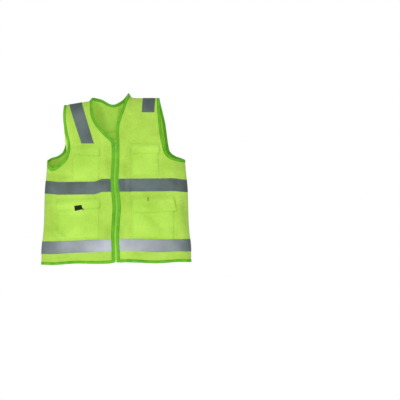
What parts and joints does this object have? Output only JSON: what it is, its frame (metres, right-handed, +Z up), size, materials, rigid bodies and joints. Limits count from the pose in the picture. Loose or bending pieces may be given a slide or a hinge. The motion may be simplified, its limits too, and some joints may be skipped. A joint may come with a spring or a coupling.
{
  "type": "high visibility vest",
  "caption": "Sleeveless zipped safety vest with grey reflective bands, green edge binding and flapped pockets.",
  "frame": {"origin": "level with the top of the shoulders, in the middle of the neck, where a hanger or the wearer's neck and shoulders hold the vest up", "axes": "+Z up, +Y towards the back, -Y out of the zipped front, -X towards the wearer's right side"},
  "size_m": [0.6024, 0.0927, 0.6775],
  "materials": {
    "lime_knit": "fluorescent lime warp-knitted polyester",
    "green_binding": "folded satin polyester binding",
    "reflective_tape": "silver glass-bead retro-reflective tape",
    "zip_tape": "woven polyester zip tape",
    "zip_plastic": "dyed moulded acetal",
    "slider_enamel": "enamelled die-cast zinc",
    "hook_and_loop": "lime hook-and-loop tape",
    "black_hook_tape": "black hook tape",
    "white_label": "blank white woven label",
    "orange_thread": "orange-brown polyester thread"
  },
  "bodies": {
    "back": {"back_panel": "lime_knit", "back_neck_binding": "green_binding", "back_hem_binding": "green_binding", "back_armhole_binding_right": "green_binding", "back_armhole_binding_left": "green_binding", "back_brace_tape_right": "reflective_tape", "back_brace_tape_left": "reflective_tape", "back_chest_band": "reflective_tape", "back_hem_band": "reflective_tape", "care_label": "white_label"},
    "right_front": {"right_front_panel": "lime_knit", "right_front_edge_binding": "green_binding", "right_front_armhole_binding": "green_binding", "right_front_hem_binding": "green_binding", "right_front_chest_band": "reflective_tape", "right_front_hem_band": "reflective_tape", "right_shoulder_tape": "reflective_tape", "right_chest_pocket": "lime_knit", "right_chest_loop_patch": "hook_and_loop", "right_lower_pocket": "lime_knit", "right_lower_loop_patch": "hook_and_loop", "zip_tape_right": "zip_tape", "zip_teeth_right": "zip_plastic", "zip_top_stop_right": "zip_plastic", "zip_retainer_box": "zip_plastic"},
    "left_front": {"left_front_panel": "lime_knit", "left_front_edge_binding": "green_binding", "left_front_armhole_binding": "green_binding", "left_front_hem_binding": "green_binding", "left_front_chest_band": "reflective_tape", "left_front_hem_band": "reflective_tape", "left_shoulder_tape": "reflective_tape", "left_chest_pocket": "lime_knit", "left_chest_loop_patch": "hook_and_loop", "left_lower_pocket": "lime_knit", "left_lower_loop_patch": "hook_and_loop", "zip_tape_left": "zip_tape", "zip_teeth_left": "zip_plastic", "zip_top_stop_left": "zip_plastic", "zip_insertion_pin": "zip_plastic"},
    "zip_slider": {"zip_slider_front_plate": "slider_enamel", "zip_slider_back_plate": "slider_enamel"},
    "zip_pull": {"zip_pull_tab": "slider_enamel"},
    "right_chest_flap": {"right_chest_flap": "lime_knit", "right_chest_hook_patch": "hook_and_loop"},
    "left_chest_flap": {"left_chest_flap": "lime_knit", "left_chest_hook_patch": "hook_and_loop"},
    "right_lower_flap": {"right_lower_flap": "lime_knit", "right_lower_hook_patch": "hook_and_loop", "right_lower_closing_tab": "black_hook_tape"},
    "left_lower_flap": {"left_lower_flap": "lime_knit", "left_lower_hook_patch": "hook_and_loop", "left_lower_flap_bar_tack": "orange_thread"}
  },
  "joints": [
    {"name": "right_front_swing", "type": "hinge", "parent": "back", "child": "right_front", "pos_m": [-0.2765, 0, -0.254], "axis": [-0.0612, 0, -0.9981], "range_deg": [0, 35]},
    {"name": "left_front_swing", "type": "hinge", "parent": "back", "child": "left_front", "pos_m": [0.2765, 0, -0.254], "axis": [-0.0612, 0, 0.9981], "range_deg": [0, 35]},
    {"name": "zip_slide", "type": "slide", "parent": "right_front", "child": "zip_slider", "axis": [0, 0, -1], "range_m": [0, 0.45]},
    {"name": "zip_pull_lift", "type": "hinge", "parent": "zip_slider", "child": "zip_pull", "pos_m": [0, -0.0408, -0.1826], "axis": [-1, 0, 0], "range_deg": [0, 160]},
    {"name": "right_chest_flap_lift", "type": "hinge", "parent": "right_front", "child": "right_chest_flap", "pos_m": [-0.117, -0.0416, -0.1928], "axis": [-1, 0, 0], "range_deg": [0, 130]},
    {"name": "left_chest_flap_lift", "type": "hinge", "parent": "left_front", "child": "left_chest_flap", "pos_m": [0.12, -0.0416, -0.1828], "axis": [-1, 0, 0], "range_deg": [0, 130]},
    {"name": "right_lower_flap_lift", "type": "hinge", "parent": "right_front", "child": "right_lower_flap", "pos_m": [-0.1485, -0.0416, -0.3988], "axis": [-1, 0, 0], "range_deg": [0, 130]},
    {"name": "left_lower_flap_lift", "type": "hinge", "parent": "left_front", "child": "left_lower_flap", "pos_m": [0.149, -0.0416, -0.3958], "axis": [-1, 0, 0], "range_deg": [0, 130]}
  ],
  "couplings": [
    {"joint": "left_front_swing", "follows": "right_front_swing", "ratio": 1},
    {"joint": "zip_slide", "follows": "right_front_swing", "m_per_rad": 0.7366}
  ]
}
